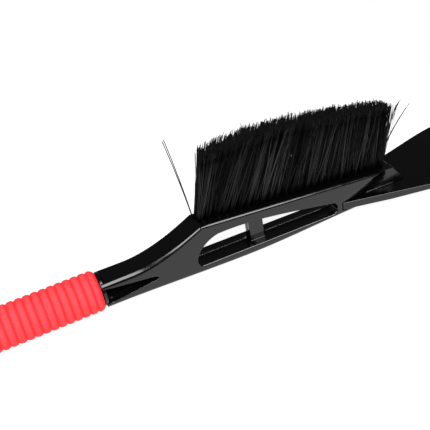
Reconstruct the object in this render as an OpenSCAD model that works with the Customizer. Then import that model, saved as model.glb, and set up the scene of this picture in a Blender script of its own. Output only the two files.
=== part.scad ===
// Windscreen snow brush with an ice scraper blade at its end.
// Working axes: X runs along the handle towards the scraper, with X = 0 at the collar that stops the
// foam grip. Z = 0 is the grip's own axis, and +Z is the bristle side.
// place() then moves every part to the brush's own frame, whose origin is the bottom centre of its box.

/* [Grip] */
// Outside diameter of the foam grip over its ribs
grip_d = 34; // [32:0.5:36]
// Length of the foam grip
grip_l = 172; // [160:1:180]
// Distance from one rib of the grip to the next
rib_pitch = 6.37; // [6:0.01:8]
// Depth of the groove between two ribs
rib_depth = 1.2; // [0.6:0.1:1.6]
// Diameter of the handle core inside the foam
core_d = 24; // [22:0.5:25]

/* [Body moulding] */
// Width of the neck and of the brush block
body_w = 25.5; // [24:0.5:27]
// Height of the neck's flat top above the grip axis
neck_top = 11; // [10:0.1:12]
// X where the brush block starts
block_start = 89; // [88:0.5:90]
// X where the flat top of the brush block ends
block_end = 275.5; // [275:0.5:277]
// Height of the block's top at its start
block_top = 28.7; // [27.5:0.1:29]
// Fall of the block's top per millimetre of length
block_fall = 0.0875; // [0.085:0.0005:0.09]
// Lowest point of the belly below the grip axis
belly = 15.2; // [15:0.1:16]
// Thickness of the web between the neck's two side flutes
flute_web = 7; // [5:0.5:9]

/* [Brush] */
// Number of tufts along the block
columns = 26; // [20:1:26]
// Number of tufts across the block
rows = 3; // [3:1:3]
// X of the first tuft
first_tuft = 91.5; // [91:0.5:93]
// X of the last tuft
last_tuft = 265; // [262:0.5:266]
// Distance between two rows
row_pitch = 4.2; // [4:0.1:5]
// Diameter of a tuft hole
hole_d = 3.4; // [3:0.1:3.6]
// Depth of a tuft hole
hole_depth = 7; // [6:0.5:7.5]
// Lean of the first tufts towards the scraper, in degrees from upright
lean_first = 20; // [15:1:22]
// Lean of the last tufts towards the scraper, in degrees from upright
lean_last = 7; // [5:1:12]
// Splay of the outer rows, in degrees
row_splay = 2.2; // [1:0.1:2.5]
// Width of a tuft at its tips
tuft_tip_d = 6; // [5:0.1:6]
// Height of the longest bristles above the block
crown_h = 65.5; // [60:0.1:70]
// How much lower the trim is at both ends of the brush
crown_drop = 8.4; // [4:0.1:10]

/* [Scraper blade] */
// X of the blade's root
blade_root = 219.6; // [219:0.1:221]
// X of the scraping edge
blade_end = 376; // [370:1:380]
// Half width of the blade where its sides end
blade_half = 52.5; // [48:0.5:54]
// Thickness of the blade at its root
root_t = 6.8; // [6:0.1:7]
// Thickness of the blade behind its bevel
plate_t = 5; // [4.5:0.1:5.5]
// Thickness of the scraping edge
edge_t = 1.2; // [0.8:0.1:2]

/* [End cap] */
// Length of the cap's round part
cap_l = 12; // [11:0.5:14]
// Length of the hanging tab beyond the round part
tab_l = 16; // [15:0.5:20]
// Diameter of the hanging hole
hang_d = 9; // [8:0.5:10]
// Thickness of the hanging tab
tab_t = 9; // [7:0.5:10]

/* [Hidden] */
$fn = 48;
half_w = body_w / 2;
fit_gap = 0.05;                         // play left at a press fit
slip_gap = 0.1;                         // play left round the blade in its slot
grip_r = grip_d / 2;
core_r = core_d / 2;
cap_end = -grip_l - cap_l - tab_l;      // X of the tip of the hanging tab
mid_x = (blade_end + cap_end) / 2;
collar_l = 2.6;
collar_r = 14.2;
collar_gap = 0.6;                       // shadow gap between the foam and the collar
blade_top = -1.6;                       // Z of the blade's upper face
lip_end = 262;                          // X where the lip under the blade ends
nose_end = 286;                         // X where the nose meets the blade
nose_half = 10.4;                       // half width of the nose
stub_l = 9;                             // stub of the core that the end cap is pushed on to
stub_r = 7;
staple_h = 1.6;                         // height of a tuft's anchor staple
staple_w = 3.2;
staple_t = 0.5;
stud_r = 3;                             // snap studs under the blade
stud_x = [229, 246];
web_x = [133, 146];                     // the strut that crosses the window
web_half = 4.6;
stray_d = 0.6;                          // diameter of one loose bristle
rib_count = floor(grip_l / rib_pitch);
tuft_step = (last_tuft - first_tuft) / (columns - 1);
black = "#1c1c1e";
bristle_black = "#26262a";
foam_red = "#ff464e";

function two(n) = n < 10 ? str("0", n) : str(n);
function tuft_x(c) = first_tuft + c * tuft_step;
function tuft_lean(c) = lean_first + (lean_last - lean_first) * c / (columns - 1);
function tuft_node(c) = str("bristle_tufts_", two(c + 1));
ROW_NAMES = ["front", "middle", "back"];

// Height of the block's sloping top at any X
function top_z(x) = block_top - block_fall * (x - block_start);
// Height of the trimmed tips at any X: crowned, with a longer fall towards the scraper
function trim_z(x) =
    let (mid = 165, reach = x < mid ? 59 : 118)
    top_z(x) + crown_h - crown_drop * pow((x - mid) / reach, 2);
// Points of a cubic curve between a and d, pulled towards b and c
function curve(a, b, c, d, n) = [for (i = [0 : n]) let (t = i / n)
    pow(1 - t, 3) * a + 3 * pow(1 - t, 2) * t * b + 3 * (1 - t) * t * t * c + t * t * t * d];

module place() {
    translate([-mid_x, 0, grip_r]) children();
}

// A side outline, drawn in X and Z, as a plate of the given thickness across Y
module across(thickness, offset = 0) {
    translate([0, offset, 0]) rotate([90, 0, 0])
        linear_extrude(height = thickness, center = true) children();
}

module x_cylinder(x0, x1, r0, r1) {
    translate([x0, 0, 0]) rotate([0, 90, 0]) cylinder(h = x1 - x0, r1 = r0, r2 = r1);
}

// ---- Body moulding ----------------------------------------------------------------------------

function neck_rise() = curve([25, neck_top], [51, neck_top],
    [74.5, top_z(block_start) - 6.8], [block_start, top_z(block_start)], 12);
function underside() = concat(
    curve([235, -11.4], [200, -12.4], [165, -belly], [135, -belly], 8),
    curve([135, -belly], [90, -belly], [40, -11.4], [collar_gap, -11.4], 10));

module side_outline() {
    polygon(concat(
        [[collar_gap, neck_top]],
        neck_rise(),
        [[block_end, top_z(block_end)], [nose_end, blade_top], [nose_end, blade_top - 1],
         [lip_end, blade_top - root_t - 0.7]],
        underside()));
}

module window_outline() {
    polygon(concat(
        curve([87, -7.7], [75, -7.9], [83, 12.6], [102, 16.4], 10),
        curve([102, 16.4], [135, 18], [175, 8.5], [210, 1.8], 10),
        curve([210, 1.8], [216, 0.6], [216, -9.3], [208, -9.3], 8)));
}

// The strut stays when the window is cut
module window_cut() {
    difference() {
        across(60) window_outline();
        translate([web_x[0], -web_half, -30]) cube([web_x[1] - web_x[0], 2 * web_half, 60]);
    }
}

// The tapering recess on both sides of the neck, which runs out of the I-shaped core
module flute_cut() {
    for (side = [-1, 1])
        across(20, side * (10 + flute_web / 2))
            polygon(concat([[collar_l + collar_gap, 6.1]],
                curve([43, 0.4], [47, 0], [47, -3.2], [43, -3], 6), [[collar_l + collar_gap, -7.7]]));
}

// Beside the nose the side walls step in above the blade
module nose_cut() {
    for (side = [-1, 1])
        across(20, side * (10 + nose_half))
            polygon([[blade_root, blade_top - 1], [222, 1.6], [233, 3.7], [246, 7.8], [257, 14],
                [300, 14], [300, blade_top - 1]]);
}

module blade_slot() {
    across(60) polygon([
        [blade_root - slip_gap, blade_top + fit_gap],
        [300, blade_top + fit_gap],
        [300, blade_top - root_t - fit_gap],
        [blade_root - slip_gap, blade_top - root_t - fit_gap]]);
}

module handle_core() {
    flange = 4.5;
    difference() {
        x_cylinder(-grip_l, collar_gap, core_r, core_r);
        for (side = [-1, 1])
            translate([-grip_l + 10, side > 0 ? flute_web / 2 : -20 - flute_web / 2, -core_r + flange])
                cube([grip_l - 16, 20, 2 * (core_r - flange)]);
    }
    x_cylinder(-grip_l - stub_l, -grip_l, stub_r, stub_r);
}

// Everything outside the handle: one side outline, kept round near the collar
module head_solid() {
    intersection() {
        across(body_w) side_outline();
        union() {
            x_cylinder(collar_gap, 45, 14, 19.5);
            translate([45, -30, -40]) cube([300, 60, 100]);
        }
    }
    x_cylinder(collar_gap, collar_gap + collar_l, collar_r, collar_r);
}

// Turns and moves its children to the mouth of one tuft's hole
module at_tuft(column, row) {
    x = tuft_x(column);
    across_row = row - (rows - 1) / 2;
    translate([x, across_row * row_pitch, top_z(x)]) rotate([0, tuft_lean(column), 0]) children();
}

module tuft_holes() {
    for (c = [0 : columns - 1], r = [0 : rows - 1])
        at_tuft(c, r) translate([0, 0, -hole_depth]) cylinder(h = hole_depth + 3, d = hole_d, $fn = 24);
}

module stud_holes() {
    for (x = stud_x)
        translate([x, 0, -20]) cylinder(h = 20 + blade_top - root_t, r = stud_r + fit_gap);
}

module body_moulding() {
    place() color(black) difference() {
        union() {
            head_solid();
            handle_core();
        }
        window_cut();
        flute_cut();
        nose_cut();
        blade_slot();
        stud_holes();
        tuft_holes();
    }
}

// ---- Foam grip ---------------------------------------------------------------------------------

// One rib: a rounded crest between two narrow grooves
function rib(i) = let (x = -grip_l + i * rib_pitch, r = grip_r) [
    [r - rib_depth, x],
    [r - rib_depth * 0.35, x + rib_pitch * 0.14],
    [r, x + rib_pitch * 0.36],
    [r, x + rib_pitch * 0.64],
    [r - rib_depth * 0.35, x + rib_pitch * 0.86]];

module foam_grip() {
    bore_r = core_r + fit_gap;
    place() color(foam_red) rotate([0, 90, 0]) rotate_extrude()
        polygon(concat(
            [[bore_r, -grip_l]],
            [for (i = [0 : rib_count - 1]) each rib(i)],
            [[grip_r - 2.2, 0], [bore_r, 0]]));
}

// ---- End cap -----------------------------------------------------------------------------------

module end_cap() {
    cap_r = grip_r - 0.6;
    tab_half = 11;
    place() color(black) difference() {
        union() {
            x_cylinder(-grip_l - cap_l + 3, -grip_l, cap_r, cap_r);
            x_cylinder(-grip_l - cap_l, -grip_l - cap_l + 3, cap_r - 3, cap_r);
            across(tab_t) union() {
                translate([cap_end + tab_half, -tab_half])
                    square([tab_l + cap_l - tab_half - 1, 2 * tab_half]);
                translate([cap_end + tab_half, 0]) circle(tab_half);
            }
        }
        x_cylinder(-grip_l - stub_l - 0.5, 1 - grip_l, stub_r + fit_gap, stub_r + fit_gap);
        translate([cap_end + tab_half, 0, 0]) rotate([90, 0, 0])
            cylinder(h = 40, d = hang_d, center = true);
    }
}

// ---- Scraper blade -----------------------------------------------------------------------------

module blade_plan() {
    corner = 6;
    side_end = blade_end - 8;
    for (flip = [0, 1]) mirror([0, flip])
        polygon([[blade_root, 0], [blade_root, half_w], [blade_root + 2, half_w + 0.4],
            [335, 45.3], [side_end, blade_half], [side_end + corner, blade_half - 1.5],
            [blade_end, blade_half - corner], [blade_end, 0]]);
}

module blade_side() {
    bevel = 26;
    polygon([[blade_root, blade_top], [blade_end, blade_top], [blade_end, blade_top - edge_t],
        [blade_end - bevel, blade_top - plate_t], [300, blade_top - plate_t],
        [lip_end, blade_top - root_t], [blade_root, blade_top - root_t]]);
}

module scraper_blade() {
    place() color(black) {
        intersection() {
            across(200) blade_side();
            translate([0, 0, -30]) linear_extrude(height = 60) blade_plan();
        }
        for (x = stud_x)
            translate([x, 0, blade_top - root_t - 2.2]) cylinder(h = 2.7, r = stud_r);
    }
}

// ---- Brush -------------------------------------------------------------------------------------

// A thin metal strip across the bottom of each hole, which the tuft is folded over
module anchor_staples(row) {
    place() color("silver")
        for (c = [0 : columns - 1])
            at_tuft(c, row) translate([-staple_t / 2, -staple_w / 2, -hole_depth])
                cube([staple_t, staple_w, staple_h]);
}

// Everything below the trimmed line of the tips
module trim_shape() {
    ends = [80, 300];
    steps = 22;
    across(80) polygon(concat(
        [[ends[1], 0], [ends[0], 0]],
        [for (i = [0 : steps]) let (x = ends[0] + (ends[1] - ends[0]) * i / steps) [x, trim_z(x)]]));
}

module tuft(column, row) {
    shank_r = hole_d / 2 - fit_gap;
    long = 85;
    tip_r = shank_r + (tuft_tip_d / 2 - shank_r) * long / crown_h;
    splay = (row - (rows - 1) / 2) * row_splay;
    intersection() {
        at_tuft(column, row) union() {
            translate([0, 0, staple_h - hole_depth]) cylinder(h = hole_depth - staple_h, r = shank_r, $fn = 24);
            rotate([-splay, 0, 0]) cylinder(h = long, r1 = shank_r, r2 = tip_r, $fn = 24);
        }
        trim_shape();
    }
}

module bristle_tufts(column) {
    place() color(bristle_black)
        for (r = [0 : rows - 1]) tuft(column, r);
}

// One loose bristle from its foot to its tip
module loose_bristle(foot, tip) {
    run = tip - foot;
    length = norm(run);
    turn = atan2(run[1], run[0]);
    lean = acos(run[2] / length);
    translate(foot) rotate([0, lean, turn]) cylinder(h = length, d = stray_d, $fn = 16);
}

module stray_bristles_rear() {
    foot_z = top_z(block_start) + stray_d;
    place() color(bristle_black) {
        loose_bristle([89.3, 5.2, foot_z], [79, 8.5, 100]);
        loose_bristle([89.3, 2.4, foot_z], [80.6, 7, 103]);
    }
}

module stray_bristles_front() {
    foot_z = top_z(last_tuft + 4) + stray_d;
    place() color(bristle_black) {
        loose_bristle([269.4, 4.2, foot_z], [304, 4.6, 60]);
        loose_bristle([269.2, 1.6, foot_z], [293.5, 3.4, 67]);
        loose_bristle([269, -1.4, foot_z], [289, 0.5, 66]);
    }
}

body_moulding();
foam_grip();
end_cap();
scraper_blade();
anchor_staples(0);  // anchor_staples_front
anchor_staples(1);  // anchor_staples_middle
anchor_staples(2);  // anchor_staples_back
for (c = [0 : columns - 1])
    bristle_tufts(c);
stray_bristles_rear();
stray_bristles_front();
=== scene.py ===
# %% [markdown]
# # A snow brush with an ice scraper
# The tool is one black moulding (handle core, neck, brush block and nose), a ribbed foam grip on the core,
# an end cap, a flared scraper blade and rows of black bristle tufts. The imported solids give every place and
# size. This lesson builds the surfaces that the eye sees around them.

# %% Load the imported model
import math
import random

import bmesh
import bpy
from mathutils import Matrix, Vector


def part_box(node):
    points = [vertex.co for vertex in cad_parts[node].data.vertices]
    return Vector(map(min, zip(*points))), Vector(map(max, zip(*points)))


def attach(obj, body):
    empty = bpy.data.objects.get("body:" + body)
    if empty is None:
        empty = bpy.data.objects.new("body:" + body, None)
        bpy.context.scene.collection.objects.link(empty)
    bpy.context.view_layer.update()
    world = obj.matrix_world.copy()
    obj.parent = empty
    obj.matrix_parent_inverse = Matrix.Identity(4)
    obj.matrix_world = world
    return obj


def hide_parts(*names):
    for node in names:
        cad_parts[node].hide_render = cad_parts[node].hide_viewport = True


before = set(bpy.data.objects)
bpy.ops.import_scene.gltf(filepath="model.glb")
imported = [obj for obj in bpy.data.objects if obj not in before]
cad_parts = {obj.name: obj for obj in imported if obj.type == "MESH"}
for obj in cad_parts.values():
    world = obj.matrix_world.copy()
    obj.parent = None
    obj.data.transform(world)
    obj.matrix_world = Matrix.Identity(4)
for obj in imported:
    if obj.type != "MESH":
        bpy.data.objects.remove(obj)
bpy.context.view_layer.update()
print("solids loaded:", len(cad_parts))

# %% [markdown]
# ## Working axes
# A maker measures this tool from the collar that stops the foam grip: x in millimetres towards the scraper,
# z up from the grip's axis. Every shape below is drawn that way, and one function turns it into the
# model's metres at the end, so no object has to be moved or scaled afterwards.

# %% Millimetres from the collar to metres in the model
grip_low, grip_high = (Vector(corner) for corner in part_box("foam_grip"))
blade_low, blade_high = (Vector(corner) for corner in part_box("scraper_blade"))
cap_low = Vector(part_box("end_cap")[0])
MM = 0.001
collar_point = Vector((grip_high.x, 0, (grip_low.z + grip_high.z) / 2))
to_model = Matrix.Translation(collar_point) @ Matrix.Scale(MM, 4)
grip_r = (grip_high.z - grip_low.z) / 2 / MM
grip_l = (grip_high.x - grip_low.x) / MM
blade_end = (blade_high.x - collar_point.x) / MM
blade_root = (blade_low.x - collar_point.x) / MM
blade_half = (blade_high.y - blade_low.y) / 2 / MM
blade_top = (blade_high.z - collar_point.z) / MM
cap_end = (cap_low.x - collar_point.x) / MM
print(f"grip {grip_l:.1f} x {2 * grip_r:.1f} mm, blade from {blade_root:.1f} to {blade_end:.1f} mm")

# %% [markdown]
# ## The camera
# The tool is seen from its bristle side, a third of the way up, and the picture is turned about ten degrees
# so that the scraper end rides high. A camera's axes are three perpendicular directions, so they are worked
# out from the two viewing angles and the roll, and written into its matrix.

# %% Place the camera
view_azimuth, view_elevation, view_roll = (math.radians(a) for a in (-19.21, 31.96, 10.58))
camera_spot = Vector((-51.97, -455.87, 327.6))
focal_mm = 58.6


def camera_matrix(spot, azimuth, elevation, roll):
    """The pose of a camera that looks back along the direction given by two angles, then rolls."""
    back = Vector((math.sin(azimuth) * math.cos(elevation),
                   -math.cos(azimuth) * math.cos(elevation), math.sin(elevation)))
    right = Vector((math.cos(azimuth), math.sin(azimuth), 0))
    up = back.cross(right)
    across = right * math.cos(roll) - up * math.sin(roll)
    upward = right * math.sin(roll) + up * math.cos(roll)
    return Matrix.Translation(spot) @ Matrix((across, upward, back)).transposed().to_4x4()


camera_data = bpy.data.cameras.new("camera")
camera_data.lens = focal_mm
camera = bpy.data.objects.new("camera", camera_data)
bpy.context.collection.objects.link(camera)
camera.matrix_world = camera_matrix(to_model @ camera_spot, view_azimuth, view_elevation, view_roll)
bpy.context.scene.camera = camera
print("camera at", [round(v, 3) for v in camera.location])

# %% [markdown]
# ## Helpers for materials
# Colours are written as the hex values a designer would quote and turned to linear light by one function.
# Another adds a node with its settings and links, so that each material reads as a short list.

# %% Colour and node helpers
def linear(hex_colour):
    """An sRGB hex colour as linear red, green, blue and alpha."""
    channels = [int(hex_colour[i:i + 2], 16) / 255 for i in (1, 3, 5)]
    return [c / 12.92 if c <= 0.04045 else ((c + 0.055) / 1.055) ** 2.4 for c in channels] + [1.0]


def add_node(tree, kind, links=None, sockets=None, **settings):
    """One shader node: its settings, the values of its sockets, and what feeds them."""
    made = tree.nodes.new(kind)
    for name, value in settings.items():
        setattr(made, name, value)
    for name, value in (sockets or {}).items():
        made.inputs[name].default_value = value
    for name, source in (links or {}).items():
        tree.links.new(source, made.inputs[name])
    return made


def new_material(name):
    """An empty material with its output and a shader to fill in."""
    material = bpy.data.materials.new(name)
    material.use_nodes = True
    tree = material.node_tree
    tree.nodes.clear()
    shader = add_node(tree, "ShaderNodeBsdfPrincipled")
    output = add_node(tree, "ShaderNodeOutputMaterial", {"Surface": shader.outputs["BSDF"]})
    output.location = (300, 0)
    return material, tree, shader


def set_shader(shader, **values):
    for name, value in values.items():
        shader.inputs[name.replace("_", " ")].default_value = value


def soft_noise(tree, scale_mm, detail=2.0, squeeze=(1, 1, 1)):
    """Noise whose blotches are about scale_mm wide, on the piece's own coordinates."""
    place = add_node(tree, "ShaderNodeTexCoord")
    mapping = add_node(tree, "ShaderNodeMapping", {"Vector": place.outputs["Object"]}, {"Scale": squeeze})
    return add_node(tree, "ShaderNodeTexNoise", {"Vector": mapping.outputs["Vector"]},
                    {"Scale": 1 / (scale_mm * MM), "Detail": detail})


def range_map(tree, source, low, high):
    return add_node(tree, "ShaderNodeMapRange", {"Value": source},
                    {"From Min": 0.3, "From Max": 0.7, "To Min": low, "To Max": high})


def bump(tree, shader, height, distance_mm, strength=1.0):
    made = add_node(tree, "ShaderNodeBump", {"Height": height},
                    {"Strength": strength, "Distance": distance_mm * MM})
    tree.links.new(made.outputs["Normal"], shader.inputs["Normal"])


# %% [markdown]
# ## Black moulded polypropylene
# The body, the blade and the cap are polypropylene from a polished mould: nearly black, with a clear gloss
# that mirrors the white table in the side walls. The floor of the recess beside the neck is given almost no
# gloss, a painted shade that keeps it evenly dark. Moulded faces are never quite flat, so slow sink-mark
# waves a few centimetres wide bend the reflections, and fine handling haze changes the roughness.

# %% Black polypropylene
def moulded_black(name, colour, roughness, haze, pocket_shade=None):
    material, tree, shader = new_material(name)
    set_shader(shader, Base_Color=linear(colour), IOR=1.49)
    haze_noise = soft_noise(tree, 9, 5)
    rough = range_map(tree, haze_noise.outputs["Fac"], roughness, roughness + haze)
    tree.links.new(rough.outputs["Result"], shader.inputs["Roughness"])
    # Painted shade: the marked recess floor loses nearly all its gloss, so it stays dark.
    if pocket_shade:
        mask = add_node(tree, "ShaderNodeAttribute", attribute_name=pocket_shade)
        pocket_gloss_shade = range_map(tree, mask.outputs["Fac"], 0.5, 0.02)
        tree.links.new(pocket_gloss_shade.outputs["Result"], shader.inputs["Specular IOR Level"])
    sink = soft_noise(tree, 22, 1)
    bump(tree, shader, sink.outputs["Fac"], 0.35)
    return material


body_black = moulded_black("black_polypropylene_polished", "#030304", 0.12, 0.09, pocket_shade="pocket_shade")
blade_black = moulded_black("black_polypropylene_blade", "#020203", 0.10, 0.06)
cap_black = moulded_black("black_polypropylene_cap", "#060607", 0.22, 0.12)
print("plastics ready")

# %% [markdown]
# ## Coral red foam
# The grip is closed-cell NBR foam. Its skin scatters light softly and has no gloss; the ground ribs show
# cells of about half a millimetre, drawn a little coarser so that they can be seen. The hollows between
# ribs look deeper in colour, because light bounces from rib to rib, so a painted shade deepens the colour
# with how far in the surface lies.

# %% Foam
def foam_rubber(name, crest, hollow, crest_r, hollow_r):
    """Foam whose colour runs from hollow to crest with the distance from the grip's axis: painted shade in
    the hollows.
    """
    material, tree, shader = new_material(name)
    set_shader(shader, Roughness=0.85, IOR=1.4)
    place = add_node(tree, "ShaderNodeTexCoord")
    centred = add_node(tree, "ShaderNodeMapping", {"Vector": place.outputs["Object"]},
                       {"Location": (0, 0, -collar_point.z), "Scale": (0, 1, 1)})
    reach = add_node(tree, "ShaderNodeVectorMath", {0: centred.outputs["Vector"]}, operation="LENGTH")
    height = add_node(tree, "ShaderNodeMapRange", {"Value": reach.outputs["Value"]},
                      {"From Min": hollow_r * MM, "From Max": crest_r * MM})
    cells = soft_noise(tree, 0.9, 3)
    # Painted shade in the hollows, mixed with the foam's cells.
    hollow_shade_and_cells = add_node(tree, "ShaderNodeMath", {0: height.outputs["Result"], 1: cells.outputs["Fac"]},
                    operation="MULTIPLY_ADD")
    hollow_shade_and_cells.inputs[2].default_value = 0.0
    blend = add_node(tree, "ShaderNodeMapRange", {"Value": hollow_shade_and_cells.outputs["Value"]},
                     {"From Min": 0.0, "From Max": 0.62})
    colour = add_node(tree, "ShaderNodeMix", {"Factor": blend.outputs["Result"]}, data_type="RGBA")
    colour.inputs[6].default_value = linear(hollow)
    colour.inputs[7].default_value = linear(crest)
    tree.links.new(colour.outputs[2], shader.inputs["Base Color"])
    bump(tree, shader, cells.outputs["Fac"], 0.25, 0.6)
    return material


# The deeper hollow colour is painted shade between the ribs.
grip_foam = foam_rubber("nbr_foam_coral_red", "#fb3a40", "#e8121b", grip_r, grip_r - 1.3)

# %% [markdown]
# ## Bristle filament
# The bristles are extruded polypropylene filaments, coloured black in the melt. Each is a thin round rod, so
# it shows one narrow glint along its length. Their colour and gloss vary at random from clump to clump,
# partly as tone and partly as painted shade of clumps on one another, and painted shade darkens them towards
# the scraper end.

# %% Filament
def filament_black(name):
    material, tree, shader = new_material(name)
    set_shader(shader, Roughness=0.42, IOR=1.49)
    # The tone-and-shade value carries random tone and painted shade, and sets both the colour and the gloss.
    tone_and_shade = add_node(tree, "ShaderNodeAttribute", attribute_name="tone_and_shade")
    streak = soft_noise(tree, 0.9, 2, (1, 1, 0.03))
    depth = add_node(tree, "ShaderNodeMath", {0: tone_and_shade.outputs["Fac"], 1: streak.outputs["Fac"]},
                     operation="MULTIPLY")
    shade = add_node(tree, "ShaderNodeMix", {"Factor": depth.outputs["Value"]}, data_type="RGBA")
    gloss = add_node(tree, "ShaderNodeMapRange", {"Value": tone_and_shade.outputs["Fac"]},
                     {"To Min": 0.03, "To Max": 1.0})
    tree.links.new(gloss.outputs["Result"], shader.inputs["Specular IOR Level"])
    shade.inputs[6].default_value = linear("#020203")
    shade.inputs[7].default_value = linear("#2c2c2f")
    tree.links.new(shade.outputs[2], shader.inputs["Base Color"])
    return material


bristle_black = filament_black("black_polypropylene_filament")

# %% [markdown]
# ## Drawing outlines
# A moulding like this is drawn as a side outline. Each curved stretch is one cubic curve between two
# points, pulled towards two more, as in any drawing program.

# %% Outline helpers
def curve(a, b, c, d, n):
    """n steps along the cubic curve from a to d, pulled towards b and c."""
    points = []
    for i in range(n + 1):
        t = i / n
        weights = ((1 - t) ** 3, 3 * (1 - t) ** 2 * t, 3 * (1 - t) * t * t, t ** 3)
        points.append(tuple(sum(w * p[k] for w, p in zip(weights, (a, b, c, d))) for k in (0, 1)))
    return points


def line(a, b, n):
    """n even steps along the straight line from a to b."""
    return [(a[0] + (b[0] - a[0]) * i / n, a[1] + (b[1] - a[1]) * i / n) for i in range(n + 1)]


def chain(*stretches):
    """Stretches joined end to end, with the shared points kept once."""
    points = []
    for stretch in stretches:
        for p in stretch:
            if not points or math.dist(points[-1], p) > 1e-3:
                points.append(p)
    return points


def between(x, table):
    """Straight-line reading of a small table of (x, value) rows."""
    for (x0, v0), (x1, v1) in zip(table, table[1:]):
        if x <= x1:
            return v0 + (v1 - v0) * max(0.0, x - x0) / (x1 - x0)
    return table[-1][1]


def smoothstep(t):
    t = min(1.0, max(0.0, t))
    return t * t * (3 - 2 * t)


# %% [markdown]
# ## Turning a mesh into a piece
# Every piece ends the same way: doubles merged, faces turned outwards, millimetres turned to metres, smooth
# shading, and a ride on the one rigid body of the tool. Edges marked with a radius on the way are rounded
# by a bevel, which also keeps the flat walls beside them flat in the light.

# %% Finish a piece
widest_radius = 6.5


def new_bmesh():
    """An empty mesh whose edges can carry a radius."""
    bm = bmesh.new()
    bm.edges.layers.float.new("bevel_weight_edge")
    return bm


def mark_radius(bm, edges, radius):
    """Mark edges to be rounded: a number, or a function of the edge's middle point."""
    layer = bm.edges.layers.float["bevel_weight_edge"]
    for edge in edges:
        middle = (edge.verts[0].co + edge.verts[1].co) / 2
        edge[layer] = (radius(middle) if callable(radius) else radius) / widest_radius


def finish_piece(name, bm, material, replaces=(), rounding=4, weld=0.002):
    bmesh.ops.remove_doubles(bm, verts=bm.verts, dist=weld)
    bmesh.ops.recalc_face_normals(bm, faces=bm.faces)
    bmesh.ops.transform(bm, matrix=to_model, verts=bm.verts)
    for face in bm.faces:
        face.smooth = True
    mesh = bpy.data.meshes.new(name)
    bm.to_mesh(mesh)
    bm.free()
    mesh.materials.append(material)
    piece = bpy.data.objects.new(name, mesh)
    bpy.context.collection.objects.link(piece)
    if rounding:
        rounded = piece.modifiers.new("rounded edges", "BEVEL")
        rounded.limit_method = "WEIGHT"
        rounded.width = widest_radius * MM
        rounded.segments = rounding
        rounded.profile = 0.5
        rounded.use_clamp_overlap = False
        rounded.harden_normals = True
    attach(piece, "root")
    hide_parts(*replaces)
    print(f"{name}: {len(mesh.polygons)} faces")


# %% [markdown]
# ## The body's side outline
# The neck leaves the collar level, sweeps up in one concave curve to the brush block, and the block's top
# falls gently to a blunt nose. Below, a shallow belly runs back to the lip that holds the blade. The window
# is a long drop shape, and the flute beside the neck is a slim wedge that runs out of the I-shaped core.

# %% Outlines of the body
half_w = 12.75
neck_top, block_start, block_top, block_fall = 11.0, 89.0, 28.7, 0.0875
block_end, nose_end, lip_end, belly = 275.5, 286.0, 262.0, 15.2
neck_start = 1.4
nose_start, grid_start, grid_end, grid_step = 217, 221, 273, 4
slot_top, slot_floor, slot_root = blade_top + 0.05, blade_top - 6.85, blade_root - 0.5


def top_z(x):
    return block_top - block_fall * (x - block_start)


upper_edge = chain(
    line((neck_start, neck_top), (25, neck_top), 5),
    curve((25, neck_top), (51, neck_top), (74.5, top_z(block_start) - 6.8),
          (block_start, top_z(block_start)), 34),
    line((block_start, top_z(block_start)), (grid_start, top_z(grid_start)), 16),
    line((grid_start, top_z(grid_start)), (grid_end, top_z(grid_end)), (grid_end - grid_start) // grid_step),
    line((grid_end, top_z(grid_end)), (block_end, top_z(block_end)), 1),
    line((block_end, top_z(block_end)), (nose_end, slot_top), 4))
slot_edge = chain(
    line((nose_end, slot_top), (slot_root, slot_top), 12),
    line((slot_root, slot_top), (slot_root, slot_floor), 2),
    line((slot_root, slot_floor), (lip_end, slot_floor), 6),
    [(lip_end, slot_floor - 0.6)])
lower_edge = chain(
    line((lip_end, slot_floor - 0.6), (235, -11.4), 4),
    curve((235, -11.4), (200, -12.4), (165, -belly), (135, -belly), 20),
    curve((135, -belly), (90, -belly), (40, -11.4), (neck_start, -11.4), 24))
window_back = curve((87, -7.7), (75, -7.9), (83, 12.6), (102, 16.4), 18)
window_roof = curve((102, 16.4), (135, 18), (175, 8.5), (210, 1.8), 24)
window_front = curve((210, 1.8), (216, 0.6), (216, -9.3), (208, -9.3), 14)
window_floor = line((208, -9.3), (87, -7.7), 24)
window_edge = chain(window_back, window_roof, window_front, window_floor)
flute_roof = chain(line((neck_start, 6.3), (42, 0.6), 6),
                   curve((42, 0.6), (47.6, -0.2), (48, -3.4), (42.5, -3.2), 8))
flute_floor = line((42.5, -3.2), (neck_start, -7.9), 6)
print("outline points:", len(upper_edge) + len(slot_edge) + len(lower_edge))

# %% [markdown]
# ## From outline to solid
# The wall beside the window can't be one polygon with a hole, so it is split in two, above and below the
# window, with the flute's floor as a third face. The three faces are extruded right across the tool.

# %% Extrude the wall across the tool
def wall_face(bm, points, y):
    """One flat face of the side wall through the given points."""
    verts = [bm.verts.new((x, y, z)) for x, z in points]
    return bm.faces.new(verts)


def nearest_index(points, x, z):
    return min(range(len(points)), key=lambda i: math.dist(points[i], (x, z)))


def is_side(face):
    return abs(face.normal.y) > 0.7


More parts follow.
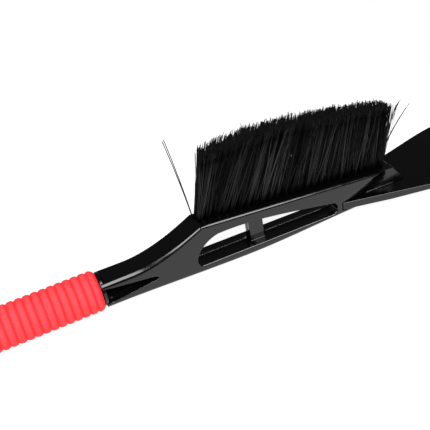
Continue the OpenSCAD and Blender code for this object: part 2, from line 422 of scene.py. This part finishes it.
body = new_bmesh()
pocket_shade = body.verts.layers.float.new("pocket_shade")
rear_split = nearest_index(window_back, 83, -3)
front_split = nearest_index(window_front, 214.3, -4)
flute_tip = nearest_index(flute_roof, 46.6, -1.7)
root_corner = nearest_index(slot_edge, slot_root, (slot_top + slot_floor) / 2)
upper_wall = chain(
    upper_edge, slot_edge[:root_corner + 1],
    window_front[:front_split + 1][::-1], window_roof[::-1], window_back[rear_split:][::-1],
    flute_roof[:flute_tip + 1][::-1])
lower_wall = chain(
    slot_edge[root_corner:], lower_edge, flute_floor[::-1], flute_roof[flute_tip:][::-1],
    window_back[:rear_split + 1][::-1], window_floor[::-1], window_front[front_split:][::-1])
flute_face = chain(flute_roof, flute_floor)
for wall in (upper_wall, lower_wall, flute_face):
    wall_face(body, wall, -half_w)
bmesh.ops.remove_doubles(body, verts=body.verts, dist=0.01)
across = bmesh.ops.extrude_face_region(body, geom=body.faces[:], use_keep_orig=True)
far_side = [v for v in across["geom"] if isinstance(v, bmesh.types.BMVert)]
bmesh.ops.translate(body, verts=far_side, vec=(0, 2 * half_w, 0))
bmesh.ops.recalc_face_normals(body, faces=body.faces)
print("walls:", len(body.faces), "faces")

# %% [markdown]
# ## The strut across the window
# The window is cored from both sides, so its walls meet in a fine ridge half way across. A square strut
# stands in it. The walls are cut along the strut's outline, the two patches are taken out, and a bridge
# joins the holes, which leaves one closed skin with real inner corners that can be filleted.

# %% Cut the window's walls and bridge the strut
strut_x = (133.0, 146.0)
strut_half = 4.6
ridge_height = ((0, 1.35), (0.31, 1.3), (0.91, 0.7), (4.6, 0.45), (12.75, 0.0))


def cut(bm, chosen, spot, normal):
    """Slice the chosen faces with a plane."""
    faces = [f for f in bm.faces if chosen(f)]
    edges = {e for f in faces for e in f.edges}
    verts = {v for f in faces for v in f.verts}
    bmesh.ops.bisect_plane(bm, geom=[*faces, *edges, *verts], plane_co=spot, plane_no=normal, dist=1e-5)


def is_window_wall(face):
    middle = face.calc_center_median()
    within = window_low(middle.x) < middle.z < window_high(middle.x)
    return not is_side(face) and 80 < middle.x < 215.5 and within


def window_low(x):
    return between(x, ((80, -11), (208, -10.6), (217, -10.2)))


def window_high(x):
    return between(x, ((80, 18), (110, 19), (140, 17), (175, 13), (210, 5), (217, 3)))


for y in (-strut_half, -0.9, -0.3, 0.3, 0.9, strut_half):
    cut(body, is_window_wall, (0, y, 0), (0, 1, 0))
for x in strut_x:
    cut(body, is_window_wall, (x, 0, 0), (1, 0, 0))
patches = [f for f in body.faces if is_window_wall(f) and abs(f.calc_center_median().y) < strut_half
           and strut_x[0] < f.calc_center_median().x < strut_x[1]]
strut_rims = [e for e in {e for f in patches for e in f.edges}
              if sum(f in patches for f in e.link_faces) == 1]
rim_spots = {tuple(round(c, 3) for c in v.co) for e in strut_rims for v in e.verts}
bmesh.ops.delete(body, geom=patches, context="FACES")
strut = bmesh.ops.bridge_loops(body, edges=[e for e in body.edges if e.is_boundary])
bmesh.ops.recalc_face_normals(body, faces=body.faces)
for v in {v for f in body.faces if is_window_wall(f) for v in f.verts if abs(v.co.y) < half_w - 0.1}:
    if not strut_x[0] - 0.1 < v.co.x < strut_x[1] + 0.1:
        around = sum((f.normal for f in v.link_faces), Vector())
        around.y = 0
        v.co += around.normalized() * between(abs(v.co.y), ridge_height)
print("strut faces:", len(strut["faces"]), "open edges:", sum(e.is_boundary for e in body.edges))

# %% [markdown]
# ## Flutes and nose
# The flutes are pushed in from both sides until a thin web is left. At the other end the side wall steps in
# towards the nose: along a slanting line it starts to curve inwards, and a couple of millimetres deeper it
# runs flat again. The wall is sliced into a fine grid there, so that it has points to move.

# %% Push the flutes in, and draw the nose in
flute_depth = 9.25
flute_low = ((neck_start, -7.9), (42.5, -3.2), (60, -3.2))
for side in (-1, 1):
    flute = [f for f in body.faces if is_side(f) and f.normal.y * side > 0
             and f.calc_center_median().x < 40 and len(f.verts) == len(flute_face)]
    sunk = bmesh.ops.extrude_face_region(body, geom=flute)
    bmesh.ops.delete(body, geom=[f for f in flute if f.is_valid], context="FACES_ONLY")
    floor_verts = [v for v in sunk["geom"] if isinstance(v, bmesh.types.BMVert)]
    # The flute floors are marked for the painted shade of the recess.
    for v in floor_verts:
        v[pocket_shade] = 1.0
        v.co.y -= side * (flute_depth - 6.0 * smoothstep((v.co.z - between(v.co.x, flute_low)) / 12.0))
bmesh.ops.recalc_face_normals(body, faces=body.faces)

step_line = ((219.4, -1.6), (221, 1.0), (233, 3.7), (246, 7.8), (255, 12.7), (258, 14.5))


def beyond_step(x, z):
    """How far a point of the side wall lies past the slanting line where it starts to curve in."""
    here = Vector((x, z))
    best = 1e9
    for a, b in zip(step_line, step_line[1:]):
        a, b = Vector(a), Vector(b)
        t = max(0.0, min(1.0, (here - a).dot(b - a) / (b - a).length_squared))
        best = min(best, (here - a - (b - a) * t).length)
    inside = x > step_line[-1][0] or (x > step_line[0][0] and z < between(x, step_line))
    return best if inside else 0.0


def near_nose(face):
    middle = face.calc_center_median()
    return middle.x > 214 and middle.z > slot_top - 0.01


nose_depth = 1.9
nose_draft = 0.19
step_run = 9
cut(body, is_side, (nose_start, 0, 0), (1, 0, 0))
for x in range(grid_start, grid_end + 1, grid_step):
    cut(body, near_nose, (x, 0, 0), (1, 0, 0))
for z in (1, 4, 7, 10):
    cut(body, lambda f: near_nose(f) and is_side(f), (0, 0, z), (0, 0, 1))
for v in body.verts:
    if v.co.x > nose_start and v.co.z > slot_top - 0.01 and abs(abs(v.co.y) - half_w) < 1e-3:
        past = smoothstep(beyond_step(v.co.x, v.co.z) / step_run)
        v.co.y -= math.copysign(past * (nose_depth + nose_draft * (v.co.z - slot_top)), v.co.y)
print("grid faces:", len(body.faces))

# %% [markdown]
# ## Rounded edges
# The neck is easy on the hand: its top edges have a radius of up to six millimetres, which tightens to three
# at the block and to one at the nose. The window, the strut and the flute have small radii. A radius has to
# be smaller than the strip of wall that it is cut from.

# %% Mark the radii
top_radius = ((0, 4.1), (10, 5.2), (20, 5.8), (34, 5.5), (44, 4.9), (65, 4.0), (83, 3.2), (89.5, 2.9),
              (150, 2.9), (221, 2.6), (239, 2.6), (258, 1.2), (300, 1.0))
low_radius = ((0, 2.7), (20, 3.0), (90, 2.6), (130, 2.2), (300, 2.2))


def rim_edges(bm, points, reach=0.06):
    """Edges between a side wall and a wall that runs across, which lie along the given outline."""
    found = []
    for e in bm.edges:
        if len(e.link_faces) == 2 and is_side(e.link_faces[0]) != is_side(e.link_faces[1]):
            if all(on_line(v.co, points) < reach for v in e.verts):
                found.append(e)
    return found


def on_line(spot, points):
    """Distance of a point, seen from the side, to an outline."""
    here = Vector((spot.x, spot.z))
    best = 1e9
    for a, b in zip(points, points[1:]):
        a, b = Vector(a), Vector(b)
        t = max(0.0, min(1.0, (here - a).dot(b - a) / max((b - a).length_squared, 1e-9)))
        best = min(best, (here - a - (b - a) * t).length)
    return best


mark_radius(body, rim_edges(body, upper_edge), lambda m: between(m.x, top_radius))
mark_radius(body, rim_edges(body, lower_edge), lambda m: between(m.x, low_radius))
mark_radius(body, rim_edges(body, window_edge), 1.2)
mark_radius(body, [e for e in rim_edges(body, flute_face) if abs(e.verts[0].co.y) > half_w - 0.1], 0.5)
strut_edges = [e for e in body.edges if all(tuple(round(c, 3) for c in v.co) in rim_spots for v in e.verts)]
mark_radius(body, strut_edges, 0.5)
end_edges = [e for e in body.edges if all(abs(v.co.x - block_end) < 0.01 and v.co.z > 8 for v in e.verts)]
mark_radius(body, end_edges, 0.5)
print("strut fillets:", len(strut_edges), "nose top:", len(end_edges))

# %% [markdown]
# The collar is a thin ring that the foam is pushed against, and the handle core behind it is I-shaped in
# section, as moulders make it to save material. Both are part of the same moulding.

# %% Collar and core
def ring_profile(bm, points):
    """Spin a closed (x, radius) profile about the grip's axis."""
    loop = [bm.verts.new((x, 0, r)) for x, r in points]
    edges = [bm.edges.new((a, b)) for a, b in zip(loop, loop[1:] + loop[:1])]
    bmesh.ops.spin(bm, geom=loop + edges, cent=(0, 0, 0), axis=(1, 0, 0), angle=2 * math.pi, steps=96,
                   use_merge=True)


ring_profile(body, chain([(0.6, 11.6)], curve((0.6, 13.6), (0.6, 14.0), (0.9, 14.2), (1.3, 14.2), 4),
                         curve((2.5, 14.2), (2.9, 14.2), (3.2, 14.0), (3.2, 13.6), 4), [(3.2, 11.2)]))
core = chain(curve((0, 12), (6.6, 12), (12, 6.6), (12, 7.5), 8), [(3.5, 7.5), (3.5, -7.5)],
             curve((12, -7.5), (12, -6.6), (6.6, -12), (0, -12), 8))
core_points = core + [(-y, z) for y, z in core[::-1][1:-1]]
core_face = body.faces.new([body.verts.new((2.0, y, z)) for y, z in core_points])
core_end = bmesh.ops.extrude_face_region(body, geom=[core_face], use_keep_orig=True)
bmesh.ops.translate(body, verts=[v for v in core_end["geom"] if isinstance(v, bmesh.types.BMVert)],
                    vec=(-2.0 - grip_l, 0, 0))
finish_piece("body_moulding", body, body_black, ["body_moulding"])

# %% [markdown]
# ## The scraper blade
# The blade is a flared plate. It starts as thick as its slot, thins to five millimetres, and its last
# stretch is bevelled from below to the scraping edge. A low rib on its top runs round the foot of the nose.

# %% Blade
blade_side = chain([(blade_root, half_w), (blade_root + 2, half_w + 0.4)],
                   curve((blade_root + 2, half_w + 0.4), (255, 22), (300, 35.5), (335, 45.3), 14),
                   curve((335, 45.3), (347, 48.7), (357, 51), (368, blade_half), 6),
                   curve((368, blade_half), (373, blade_half + 0.3), (376, 49), (blade_end, 46.5), 6))
blade_outline = blade_side + [(x, -y) for x, y in blade_side[::-1]]
root_depth = 6.8
blade_depth = ((blade_root, root_depth), (lip_end, root_depth), (300, 5.0), (350, 5.0), (blade_end, 1.2))
blade = new_bmesh()
blade_face = blade.faces.new([blade.verts.new((x, y, blade_top)) for x, y in blade_outline])
under = bmesh.ops.extrude_face_region(blade, geom=[blade_face], use_keep_orig=True)
bmesh.ops.translate(blade, verts=[v for v in under["geom"] if isinstance(v, bmesh.types.BMVert)],
                    vec=(0, 0, -root_depth))
for x in (lip_end, 281, 300, 325, 350):
    bmesh.ops.bisect_plane(blade, geom=[*blade.verts, *blade.edges, *blade.faces], plane_co=(x, 0, 0),
                           plane_no=(1, 0, 0), dist=1e-5)
for v in blade.verts:
    if v.co.z < blade_top - 1:
        v.co.z = blade_top - between(v.co.x, blade_depth)
bmesh.ops.recalc_face_normals(blade, faces=blade.faces)
blade_rims = [e for e in blade.edges if len(e.link_faces) == 2
              and (abs(e.link_faces[0].normal.z) > 0.7) != (abs(e.link_faces[1].normal.z) > 0.7)]
mark_radius(blade, blade_rims, 0.55)
blade_corners = [e for e in blade.edges if all(v.co.x < blade_root + 0.01 and abs(v.co.y) > half_w - 0.1
                 for v in e.verts)]
mark_radius(blade, blade_corners, 0.9)


def prism(bm, outline, low, high):
    """A closed block over a plan outline, between two heights. Returns the rim of its top."""
    floor = bm.faces.new([bm.verts.new((x, y, low)) for x, y in outline])
    raised = bmesh.ops.extrude_face_region(bm, geom=[floor], use_keep_orig=True)
    top = [v for v in raised["geom"] if isinstance(v, bmesh.types.BMVert)]
    bmesh.ops.translate(bm, verts=top, vec=(0, 0, high - low))
    top = set(top)
    return [e for e in bm.edges if e.verts[0] in top and e.verts[1] in top]


rib_side = chain([(236, 10.6), (247, 11.0), (272, 11.6)],
                 curve((280, 11.8), (285, 11.8), (288, 9.5), (288, 5), 8))
rib_outline = rib_side + [(x, -y) for x, y in rib_side[::-1]]
mark_radius(blade, prism(blade, rib_outline, blade_top - 0.5, blade_top + 0.8), 0.35)
finish_piece("scraper_blade", blade, blade_black, ["scraper_blade"], rounding=3)

# %% [markdown]
# ## The foam grip
# The foam sleeve is turned: twenty-seven rounded ribs with narrow valleys between them. One rib's section
# is drawn and repeated along the axis, and the last one curves down to the collar.

# %% Foam
rib_pitch = 6.37
rib_count = round(grip_l / rib_pitch)
rib_shape = ((0.0, -1.25), (0.05, -1.1), (0.13, -0.62), (0.23, -0.25), (0.36, -0.05), (0.5, 0.0),
             (0.64, -0.05), (0.77, -0.25), (0.87, -0.62), (0.95, -1.1))
foam_profile = [(-grip_l, 12.05), (-grip_l, grip_r - 1.9)]
for i in range(rib_count):
    start = -grip_l + i * rib_pitch
    for part, depth in rib_shape:
        fall = 0.0 if i < rib_count - 1 else -1.1 * smoothstep((part - 0.3) / 0.7)
        nudge = 0.02 if i == 0 and part == 0 else 0
        foam_profile.append((start + part * rib_pitch + nudge, grip_r + depth + fall))
foam_profile += [(-0.02, grip_r - 2.5), (0.0, 12.05)]
foam = new_bmesh()
ring_profile(foam, foam_profile)
finish_piece("foam_grip", foam, grip_foam, ["foam_grip"], rounding=0)

# %% [markdown]
# ## The end cap
# A plug closes the foam's far end. It is a rounded button with a flat tab that has a hole to hang it by.

# %% Cap
cap = new_bmesh()
cap_r = grip_r - 0.6
cap_start = -grip_l - 12
tab_thick = 9.0
ring_profile(cap, chain([(-grip_l, 7.05)], curve((-grip_l, cap_r - 1.2), (-grip_l, cap_r - 0.4),
                                                  (-grip_l - 0.4, cap_r), (-grip_l - 1.2, cap_r), 4),
                        curve((cap_start + 4.5, cap_r), (cap_start + 2, cap_r),
                              (cap_start + 0.4, cap_r - 1.2), (cap_start, cap_r - 4.5), 8),
                        [(cap_start, 7.05)]))
tab_half = 11.0
tab_centre = cap_end + tab_half
hole_r = 4.5
tab_ring = [(tab_centre + tab_half * math.cos(math.radians(a)), tab_half * math.sin(math.radians(a)))
            for a in range(90, 271, 9)]
tab_outline = chain([(cap_start + 10, tab_half)], line((cap_start + 1, tab_half), (tab_centre, tab_half), 4),
                    tab_ring, line((tab_centre, -tab_half), (cap_start + 1, -tab_half), 4),
                    [(cap_start + 10, -tab_half)])
tab_rim = [cap.verts.new((x, -tab_thick / 2, z)) for x, z in tab_outline]
rim = [cap.edges.new((a, b)) for a, b in zip(tab_rim, tab_rim[1:] + tab_rim[:1])]
hole_verts = [cap.verts.new((tab_centre + hole_r * math.cos(a), -tab_thick / 2, hole_r * math.sin(a)))
              for a in (2 * math.pi * i / 40 for i in range(40))]
rim += [cap.edges.new((a, b)) for a, b in zip(hole_verts, hole_verts[1:] + hole_verts[:1])]
tab_face = bmesh.ops.triangle_fill(cap, edges=rim, use_beauty=True)
tab_faces = [f for f in tab_face["geom"] if isinstance(f, bmesh.types.BMFace)]
tab_far = bmesh.ops.extrude_face_region(cap, geom=tab_faces, use_keep_orig=True)
bmesh.ops.translate(cap, verts=[v for v in tab_far["geom"] if isinstance(v, bmesh.types.BMVert)],
                    vec=(0, tab_thick, 0))
bmesh.ops.recalc_face_normals(cap, faces=cap.faces)
tab_edges = [e for e in cap.edges if len(e.link_faces) == 2
             and all(abs(abs(v.co.y) - tab_thick / 2) < 0.01 for v in e.verts)
             and is_side(e.link_faces[0]) != is_side(e.link_faces[1]) and e.verts[0].co.x < cap_start + 9]
mark_radius(cap, tab_edges, 1.0)
finish_piece("end_cap", cap, cap_black, ["end_cap"])

# %% [markdown]
# ## The bristles
# A tuft is a bundle of filaments folded into a drilled hole, so it is tight at the block and opens towards
# its trimmed tips. The tufts near the grip lean well forward and those near the scraper stand almost
# upright. One straight filament is made from a four-sided rod, and each copy of it is bent into place. The
# holes are not cut here: each filament starts a millimetre under the block's unbroken top. A filament's
# tone-and-shade value sets its colour and gloss, and a drawn curve of painted shade takes it down to black
# at the foot and at the tip.

# %% One filament, and how it is bent
random.seed(7)
rod = bmesh.new()
bmesh.ops.create_cone(rod, cap_ends=True, segments=4, radius1=1, radius2=0.8, depth=1,
                      matrix=Matrix.Translation((0, 0, 0.5)))
lengthwise = [e for e in rod.edges if abs(e.verts[0].co.z - e.verts[1].co.z) > 0.5]
bmesh.ops.subdivide_edges(rod, edges=lengthwise, cuts=5, use_grid_fill=True)
filament_mesh = bpy.data.meshes.new("filament")
rod.to_mesh(filament_mesh)
rod.free()


# Painted shade along a filament: dark at the foot, black at the tip.
foot_and_tip_shade = ((0, 0.1), (0.1, 0.35), (0.3, 1.0), (0.78, 0.95), (0.89, 0.35), (0.96, 0.0), (1, 0.0))


def add_filament(bm, foot, slope, bend, height, radius, tone_and_shade=0.5):
    """A filament from its foot: slope is run per unit of height, bend is the extra run at the tip."""
    before = len(bm.verts)
    bm.from_mesh(filament_mesh)
    bm.verts.ensure_lookup_table()
    tone_and_shade_layer = bm.verts.layers.float.get("tone_and_shade") or bm.verts.layers.float.new("tone_and_shade")
    bm.verts.ensure_lookup_table()
    for v in bm.verts[before:]:
        t = v.co.z
        v[tone_and_shade_layer] = tone_and_shade * between(t, foot_and_tip_shade)
        v.co = Vector((foot.x + v.co.x * radius + slope[0] * height * t + bend[0] * t * t,
                       foot.y + v.co.y * radius + slope[1] * height * t + bend[1] * t * t,
                       foot.z + height * t))


# %% [markdown]
# The trim line is crowned: a machine cuts the tips to one long curve, and they end up ragged by a
# millimetre or two because every filament leans its own way.

# %% Plant the tufts
columns, first_tuft, last_tuft, row_pitch = 26, 91.5, 265.0, 4.2
crown_h, crown_drop = 65.5, 8.4
filament_r, foot_depth = 0.27, 1.0
lean_table = ((91, 17.5), (98, 21.5), (110, 24.5), (140, 21.5), (195, 15.5), (240, 9.5), (265, 9.0))


def trim_z(x):
    return top_z(x) + crown_h - crown_drop * ((x - 165) / (59 if x < 165 else 118)) ** 2


def plant_tuft(bm, x, y, row, clumps=7, each=6, loners=24):
    """A tuft of filaments: most hang together in small clumps, and some fill the space between."""
    lean = between(x, lean_table) + random.gauss(0, 0.7)
    sway = random.gauss(0, 0.7)
    stray_limit = 0.4 if x < first_tuft + 1 else 4.0
    loners += round(22 * (1 - smoothstep((x - first_tuft) / 40)))
    for clump in range(clumps + loners):
        if clump < clumps:
            turn, reach, members = 2 * math.pi * (clump + random.random() * 0.6) / clumps, 0.95, each
            waver = 1.3
        else:
            turn, reach, members = random.uniform(0, 2 * math.pi), 1.6 * math.sqrt(random.random()), 1
            waver = 2.2
        cx, cy = reach * math.cos(turn), reach * math.sin(turn)
        aim_x = lean + 2.6 * cx + max(-stray_limit, random.gauss(0, waver))
        aim_y = 2.4 * row + sway + 2.2 * cy + random.gauss(0, 1.1)
        bow = (random.gauss(0, 1.5), random.gauss(0, 1.2))
        # Random tone, times painted shade that darkens the tufts towards the scraper end.
        tone_and_shade = random.random() ** 3 * between(x, ((91, 1.0), (180, 0.8), (265, 0.6)))
        for i in range(members):
            dx, dy = cx + random.uniform(-0.5, 0.5), cy + random.uniform(-0.5, 0.5)
            foot = Vector((x + dx, y + dy, top_z(x) - foot_depth))
            lean_x = math.tan(math.radians(aim_x + random.gauss(0, 0.5)))
            lean_y = math.tan(math.radians(aim_y + random.gauss(0, 0.6)))
            bend = (bow[0] + random.gauss(0, 0.4), bow[1] + random.gauss(0, 0.4))
            tip_x = foot.x + lean_x * crown_h + bend[0]
            height = trim_z(tip_x) - foot.z + min(1.4, random.gauss(-0.6, 1.0))
            own_tone_and_shade = min(1.0, tone_and_shade + random.uniform(0, 0.1))
            add_filament(bm, foot, (lean_x, lean_y), bend, height, filament_r, own_tone_and_shade)


for column in range(columns):
    x = first_tuft + (last_tuft - first_tuft) * column / (columns - 1)
    tufts = bmesh.new()
    for row in (-1, 0, 1):
        plant_tuft(tufts, x, row * row_pitch, row)
    name = f"bristle_tufts_{column + 1:02d}"
    finish_piece(name, tufts, bristle_black, [name], rounding=0, weld=1e-6)

# %% [markdown]
# A few filaments have sprung out at both ends of the brush, as they do on any brush that has been packed
# in a sleeve.

# %% Loose bristles
loose_r = 0.45


def loose(name, strands):
    bm = bmesh.new()
    for foot, tip, bow in strands:
        foot, tip = Vector(foot), Vector(tip)
        height = tip.z - foot.z
        run = tip - foot
        slope = ((run.x - bow[0]) / height, (run.y - bow[1]) / height)
        add_filament(bm, foot, slope, bow, height, loose_r)
    finish_piece(name, bm, bristle_black, [name], rounding=0, weld=1e-6)


loose("stray_bristles_rear", (((89.3, 4.6, 27.5), (79, 8.5, 100), (-2.6, 0)),
                              ((89.4, 4.6, 27.5), (80.1, 8.1, 101.5), (-2.9, 0))))
loose("stray_bristles_front", (((269.4, 4.2, 11.5), (304, 4.6, 60), (17, 0)),
                               ((269.2, 3.4, 11.5), (300, 4.2, 57), (19, 0)),
                               ((269.2, 1.6, 11.5), (293.5, 3.4, 67), (19, 0)),
                               ((269.2, 0.6, 11.5), (291, 2.4, 66), (18, 0)),
                               ((269, -1.4, 11.5), (288, 0.5, 66), (17, 0)),
                               ((269, -2.4, 11.5), (285.5, -1.5, 62), (15, 0))))

# %% [markdown]
# ## The staples
# Each tuft is folded over a short strip of zinc-plated steel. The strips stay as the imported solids, out of
# sight inside the block, and get their metal.

# %% Zinc-plated steel
def zinc_steel(name):
    material, tree, shader = new_material(name)
    set_shader(shader, Metallic=1.0, Base_Color=linear("#b4b8bc"))
    spangle = soft_noise(tree, 0.6, 3)
    rough = range_map(tree, spangle.outputs["Fac"], 0.28, 0.42)
    tree.links.new(rough.outputs["Result"], shader.inputs["Roughness"])
    return material


staple_steel = zinc_steel("zinc_plated_steel")
for row_name in ("front", "middle", "back"):
    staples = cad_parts[f"anchor_staples_{row_name}"]
    staples.data.materials.clear()
    staples.data.materials.append(staple_steel)

# %% [markdown]
# ## The stage
# A white table lights the tool from below and all round, two soft boxes hang in front and above it, and
# the room behind is dark. That gives black plastic its look: grey side walls, black top faces and one
# bright line along each rounded edge. The gap between the boxes makes that line fade part way up the neck.

# %% Table, room and lights
def glow_floor(name):
    material, tree, shader = new_material(name)
    set_shader(shader, Base_Color=(0.2, 0.2, 0.2, 1), Roughness=0.9,
               Emission_Color=(1, 1, 1, 1), Emission_Strength=0.92)
    return material


table = bmesh.new()
bmesh.ops.create_circle(table, cap_ends=True, segments=96, radius=1,
                        matrix=Matrix.Diagonal((0.52, 0.30, 1, 1)))
table_mesh = bpy.data.meshes.new("table")
table.to_mesh(table_mesh)
table.free()
table_mesh.materials.append(glow_floor("white_light_table"))
table_object = bpy.data.objects.new("table", table_mesh)
bpy.context.collection.objects.link(table_object)
table_object.location.z = -0.0005


def soft_box(name, spot, target, size, power):
    data = bpy.data.lights.new(name, "AREA")
    data.shape = "RECTANGLE"
    data.size, data.size_y = size
    data.energy = power
    light = bpy.data.objects.new(name, data)
    bpy.context.collection.objects.link(light)
    light.location = spot
    light.rotation_euler = (Vector(target) - Vector(spot)).to_track_quat("-Z", "Y").to_euler()
    return light


soft_box("overhead_soft_box", (0.42, -0.80, 1.14), (0.42, 0.0, 0.03), (0.96, 1.05), 34)
soft_box("grip_end_soft_box", (-0.84, -0.80, 1.14), (-0.84, 0.0, 0.03), (0.92, 1.05), 32)

world = bpy.data.worlds.new("room")
bpy.context.scene.world = world
world.use_nodes = True
tree = world.node_tree
tree.nodes.clear()
path = add_node(tree, "ShaderNodeLightPath")
seen = add_node(tree, "ShaderNodeBackground", None, {"Color": (1, 1, 1, 1), "Strength": 1.0})
room = add_node(tree, "ShaderNodeBackground", None, {"Color": (1, 1, 1, 1), "Strength": 0.05})
mixed = add_node(tree, "ShaderNodeMixShader",
                 {0: path.outputs["Is Camera Ray"], 1: room.outputs[0], 2: seen.outputs[0]})
add_node(tree, "ShaderNodeOutputWorld", {"Surface": mixed.outputs[0]})
bpy.context.scene.view_settings.view_transform = "Standard"
